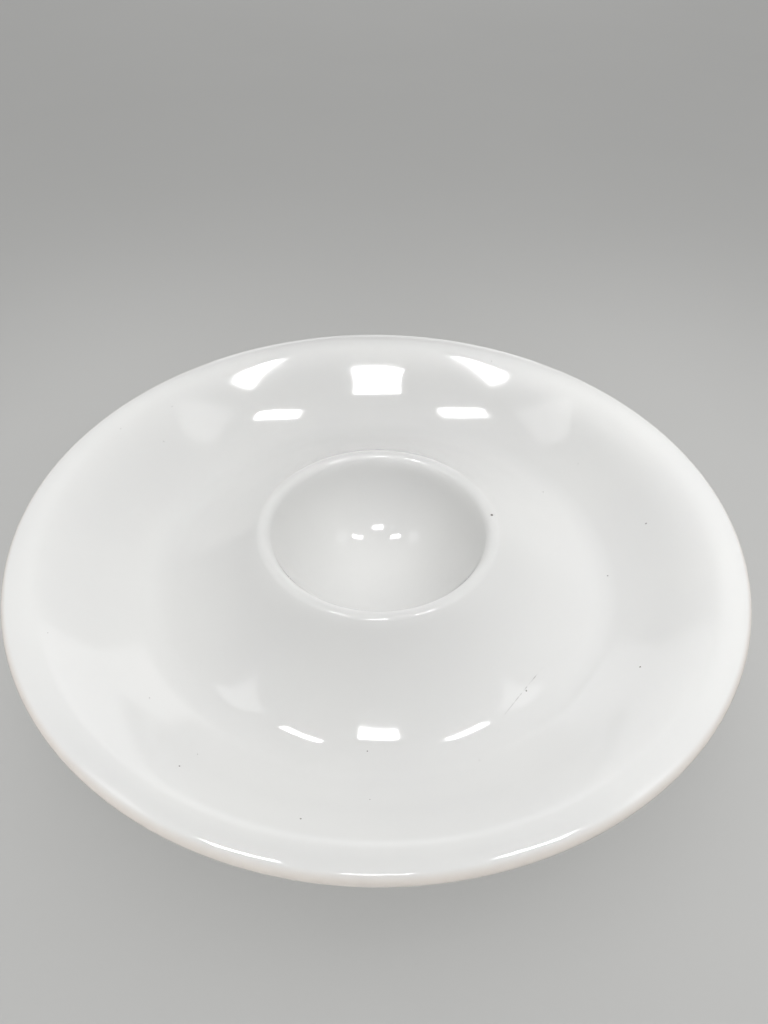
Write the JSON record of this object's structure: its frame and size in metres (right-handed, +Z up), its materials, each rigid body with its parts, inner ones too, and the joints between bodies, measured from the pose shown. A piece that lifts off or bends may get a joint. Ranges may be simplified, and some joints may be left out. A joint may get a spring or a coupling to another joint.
{
  "type": "chip and dip platter",
  "caption": "Round white glazed ceramic platter with a raised dip well in the middle, a chip channel round it, a rounded rim and a foot ring to stand on.",
  "frame": {"origin": "on the platter's axis, in the plane of the foot ring's base, where it stands on the table", "axes": "+Z up along the platter's axis; -Y towards the viewer of the picture and +X to the viewer's right, though the platter is the same all round"},
  "size_m": [0.33, 0.33, 0.0486],
  "materials": {
    "clay": "bare fired clay, matt and slightly rough",
    "glaze": "white gloss glaze, fused on"
  },
  "bodies": {
    "root": {"clay_body": "clay", "upper_glaze": "glaze", "underside_glaze": "glaze"}
  },
  "joints": []
}
